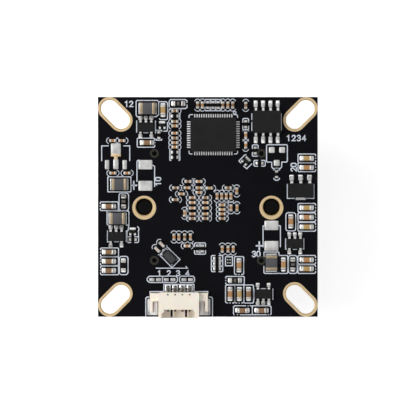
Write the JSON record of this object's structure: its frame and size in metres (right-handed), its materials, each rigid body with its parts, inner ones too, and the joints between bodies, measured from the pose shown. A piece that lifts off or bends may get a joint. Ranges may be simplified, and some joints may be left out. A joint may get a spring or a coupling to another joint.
{
  "type": "fixed-focus camera module",
  "caption": "Square camera circuit board with surface-mount parts and a side-entry cable socket on one face and a fixed-focus threaded lens in a bonded holder on the other",
  "frame": {"origin": "centre of the lens's front rim, on which the module stands", "axes": "+Z from the lens to the board's component face, +Y away from the edge with the cable socket, +X to the right when the component face is seen with the socket at the bottom"},
  "size_m": [0.038, 0.0382, 0.024],
  "materials": {
    "solder_mask": "near-black satin solder mask over glass-fibre laminate",
    "gold_plate": "thin pale gold plate on copper, satin",
    "masked_copper": "dark mask over copper rings",
    "solder": "bright reflowed solder",
    "tin": "matt to bright tin plate",
    "legend_ink": "bluish white epoxy ink",
    "chip_resin": "fine-grained dark moulding resin",
    "inductor_body": "mid-grey moulded metal powder",
    "inductor_metal": "dull tan-gold plated end metal",
    "alumina": "white fired alumina",
    "crystal_lid": "dark nickel lid, smooth",
    "capacitor_ceramic": "brown fired ceramic, satin",
    "resistor_glaze": "black resistor glaze",
    "ferrite": "dark grey ferrite",
    "socket_plastic": "cream high-temperature plastic",
    "black_plastic": "black moulded plastic",
    "lens_metal": "black anodised aluminium",
    "coated_glass": "polished glass with a faint coating",
    "filter_glass": "thin coated filter glass",
    "package_ceramic": "dark package ceramic",
    "silicon": "polished silicon",
    "clear_glass": "clear thin glass"
  },
  "bodies": {
    "root": {"circuit_board": "solder_mask", "slot_lands": "gold_plate", "peg_hole_lands": "gold_plate", "plated_holes": "masked_copper", "bare_pads": "solder", "printed_legend": "legend_ink", "controller_body": "chip_resin", "controller_terminals": "tin", "controller_solder": "solder", "memory_body": "chip_resin", "memory_leads": "tin", "memory_solder": "solder", "regulator_bodies": "chip_resin", "regulator_leads": "tin", "regulator_solder": "solder", "linear_body": "chip_resin", "linear_leads": "tin", "linear_solder": "solder", "transistor_bodies": "chip_resin", "transistor_solder": "solder", "inductor_cores": "inductor_body", "inductor_terminals": "inductor_metal", "inductor_solder": "solder", "crystal_base": "alumina", "crystal_lid": "crystal_lid", "crystal_solder": "solder", "small_capacitor_bodies": "capacitor_ceramic", "small_capacitor_caps": "tin", "small_capacitor_solder": "solder", "small_resistor_bodies": "alumina", "small_resistor_glazes": "resistor_glaze", "small_resistor_caps": "tin", "small_resistor_solder": "solder", "large_capacitor_bodies": "capacitor_ceramic", "large_capacitor_caps": "tin", "large_resistor_body": "alumina", "large_resistor_glaze": "resistor_glaze", "large_resistor_caps": "tin", "bead_bodies": "ferrite", "bead_caps": "tin", "large_chip_solder": "solder", "connector_housing": "socket_plastic", "connector_contacts": "tin", "connector_nails": "tin", "connector_solder": "solder", "lens_holder": "black_plastic", "lens_barrel": "lens_metal", "retaining_ring": "lens_metal", "front_lens": "coated_glass", "stop_spacer": "lens_metal", "middle_lens": "coated_glass", "plain_spacer": "lens_metal", "rear_lens": "coated_glass", "infrared_filter": "filter_glass", "sensor_package": "package_ceramic", "sensor_die": "silicon", "sensor_glass": "clear_glass", "sensor_solder": "solder"}
  },
  "joints": []
}
